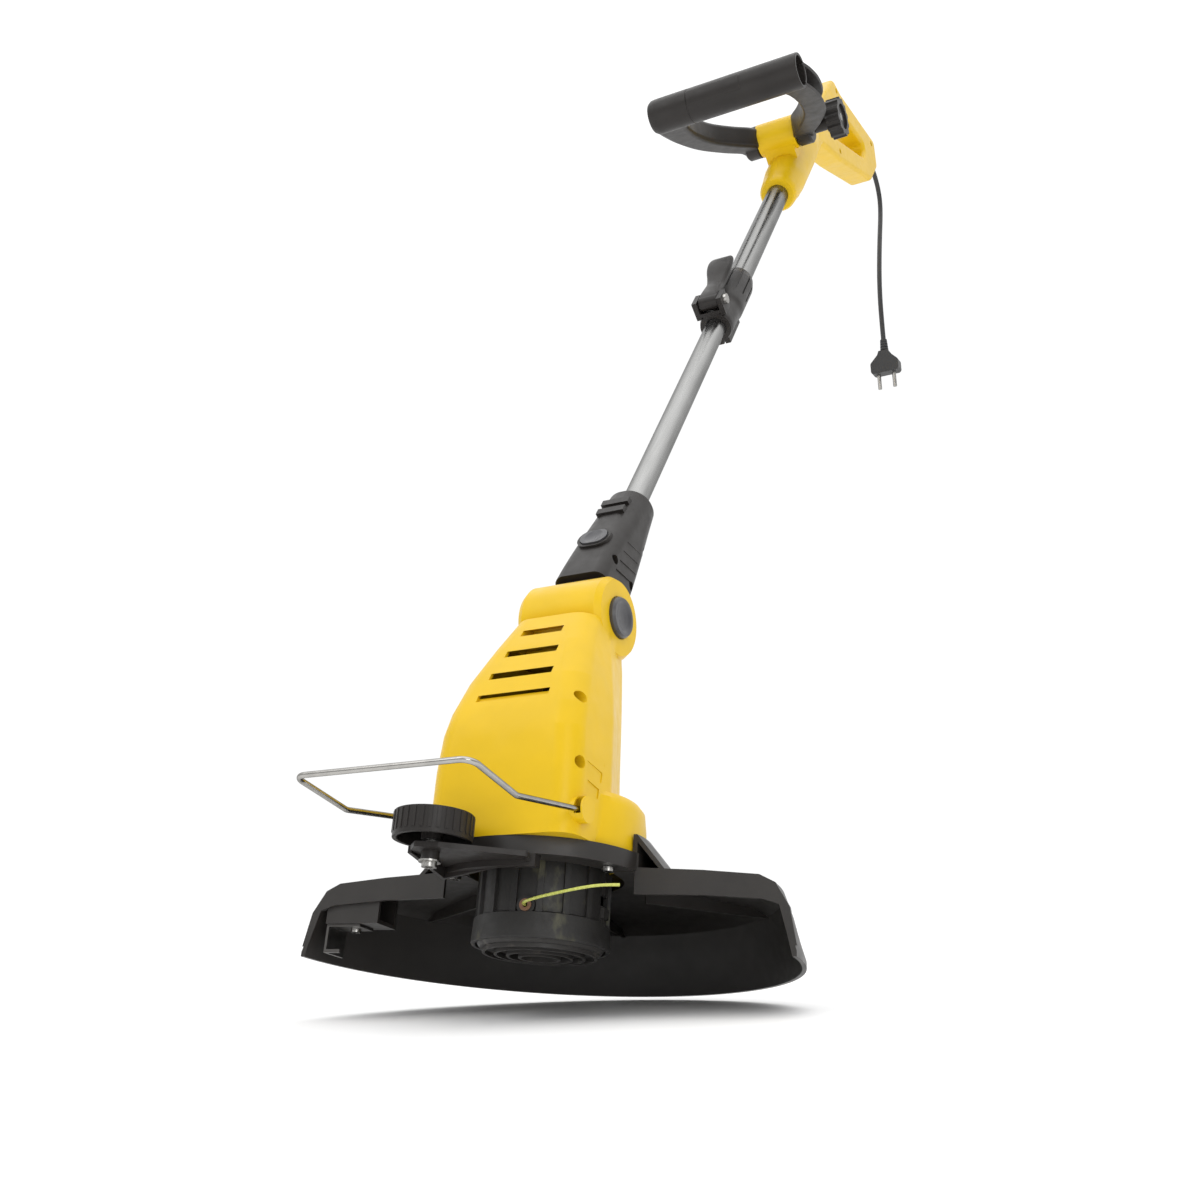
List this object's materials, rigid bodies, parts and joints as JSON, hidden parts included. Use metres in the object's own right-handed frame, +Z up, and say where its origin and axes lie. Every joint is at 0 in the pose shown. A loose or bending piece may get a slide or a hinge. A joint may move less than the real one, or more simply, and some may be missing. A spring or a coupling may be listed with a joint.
{
  "type": "string trimmer",
  "caption": "Corded string trimmer with telescopic shaft, tilting and turning motor head, bump-feed line drum, edging wheel, wire plant guard, loop front handle and short plug lead.",
  "frame": {"origin": "middle of the rear grip", "axes": "+Z up, +Y back to the operator, -Y to the cutting head, +X to the side of the tool that carries the knob"},
  "size_m": [0.3055, 1.0903, 1.01],
  "materials": {
    "yellow_plastic": "satin moulded",
    "black_plastic": "fine grain",
    "guard_plastic": "smooth inside, grained outside",
    "button_plastic": "satin",
    "tube_aluminium": "drawn",
    "bright_steel": "zinc plated",
    "blade_steel": "rolled",
    "wire_steel": "nickel plated",
    "laminated_steel": "varnished laminations",
    "copper": "enamelled",
    "brass": "bright",
    "carbon": "sintered",
    "line_nylon": "translucent extruded",
    "wound_line": "wound",
    "cord_jacket": "matt"
  },
  "bodies": {
    "handle": {"rear_handle_left": "yellow_plastic", "rear_handle_right": "yellow_plastic", "handle_screws": "bright_steel", "power_switch": "black_plastic", "cord_gland": "cord_jacket", "mains_cord": "cord_jacket", "plug_body": "cord_jacket", "plug_pins": "bright_steel", "upper_tube": "tube_aluminium", "clamp_body": "black_plastic", "clamp_pin": "bright_steel", "cross_bolt": "bright_steel"},
    "lower_shaft": {"lower_tube": "tube_aluminium", "tube_bush": "black_plastic"},
    "neck": {"neck_left": "black_plastic", "neck_right": "black_plastic", "neck_screws": "bright_steel", "neck_spring": "bright_steel"},
    "neck_button": {"neck_button": "button_plastic"},
    "head": {"housing_left": "yellow_plastic", "housing_right": "yellow_plastic", "housing_screws": "bright_steel", "pivot_axle": "bright_steel", "guard": "guard_plastic", "guard_screws": "bright_steel", "line_cutter": "blade_steel", "cutter_screw": "bright_steel", "wheel_bracket": "black_plastic", "wheel_screw": "bright_steel", "wheel_washer": "bright_steel", "stator_core": "laminated_steel", "field_windings": "copper", "lower_bearing": "bright_steel", "upper_bearing": "bright_steel", "top_bracket": "black_plastic", "brush_holders": "brass", "carbon_brushes": "carbon"},
    "tilt_button": {"tilt_button": "button_plastic"},
    "rotor": {"motor_shaft": "bright_steel", "rotor_core": "laminated_steel", "rotor_windings": "copper", "commutator": "copper", "fan": "black_plastic", "drum": "black_plastic", "eyelets": "copper", "bump_spring": "bright_steel", "cutting_line_front": "line_nylon", "cutting_line_rear": "line_nylon"},
    "spool": {"spool": "black_plastic", "line_windings": "wound_line", "bump_cap": "black_plastic"},
    "edge_wheel": {"edge_wheel": "black_plastic"},
    "wire_guard": {"wire_guard": "wire_steel"},
    "front_handle": {"front_handle": "black_plastic"},
    "knob": {"knob": "black_plastic"},
    "clamp_lever": {"clamp_lever": "black_plastic"},
    "trigger": {"trigger": "black_plastic"}
  },
  "joints": [
    {"name": "shaft_telescope", "type": "slide", "parent": "handle", "child": "lower_shaft", "axis": [0, 0.6561, 0.7547], "range_m": [-0.04, 0.2]},
    {"name": "head_turn", "type": "hinge", "parent": "lower_shaft", "child": "neck", "pos_m": [0, -0.67543, -0.70078], "axis": [0, 0.6561, 0.7547], "range_deg": [0, 180]},
    {"name": "neck_button_press", "type": "slide", "parent": "neck", "child": "neck_button", "axis": [0, 0.7547, -0.6561], "range_m": [0, 0.002], "stiffness_N_per_m": 1500, "springref_m": -0.002, "deforming": ["neck_spring"]},
    {"name": "head_tilt", "type": "hinge", "parent": "neck", "child": "head", "pos_m": [0, -0.72791, -0.76115], "axis": [1, 0, 0], "range_deg": [0, 45]},
    {"name": "tilt_button_press", "type": "slide", "parent": "head", "child": "tilt_button", "axis": [-1, 0, 0], "range_m": [0, 0.003], "stiffness_N_per_m": 1500, "springref_m": -0.002},
    {"name": "spindle_spin", "type": "hinge", "parent": "head", "child": "rotor", "pos_m": [0, -0.78583, -0.96149], "axis": [0, 0.2079, 0.9781], "continuous": true},
    {"name": "bump_feed", "type": "slide", "parent": "rotor", "child": "spool", "axis": [0, 0.2079, 0.9781], "range_m": [0, 0.004], "stiffness_N_per_m": 1500, "springref_m": -0.003, "deforming": ["bump_spring"]},
    {"name": "wheel_spin", "type": "hinge", "parent": "head", "child": "edge_wheel", "pos_m": [-0.022, -0.8609, -0.90106], "axis": [0, 0.2079, 0.9781], "continuous": true},
    {"name": "bail_swing", "type": "hinge", "parent": "head", "child": "wire_guard", "pos_m": [0, -0.82122, -0.88751], "axis": [1, 0, 0], "range_deg": [-60, 0]},
    {"name": "front_handle_tilt", "type": "hinge", "parent": "handle", "child": "front_handle", "pos_m": [0, -0.25067, -0.15575], "axis": [1, 0, 0], "range_deg": [-75, 15]},
    {"name": "knob_turn", "type": "hinge", "parent": "handle", "child": "knob", "pos_m": [0, -0.25067, -0.15575], "axis": [1, 0, 0], "range_deg": [0, 360]},
    {"name": "clamp_lever_open", "type": "hinge", "parent": "handle", "child": "clamp_lever", "pos_m": [0, -0.47046, -0.43374], "axis": [1, 0, 0], "range_deg": [0, 110]},
    {"name": "trigger_press", "type": "slide", "parent": "handle", "child": "trigger", "axis": [0, -0.0698, 0.9976], "range_m": [0, 0.005], "stiffness_N_per_m": 1500, "springref_m": -0.002}
  ]
}
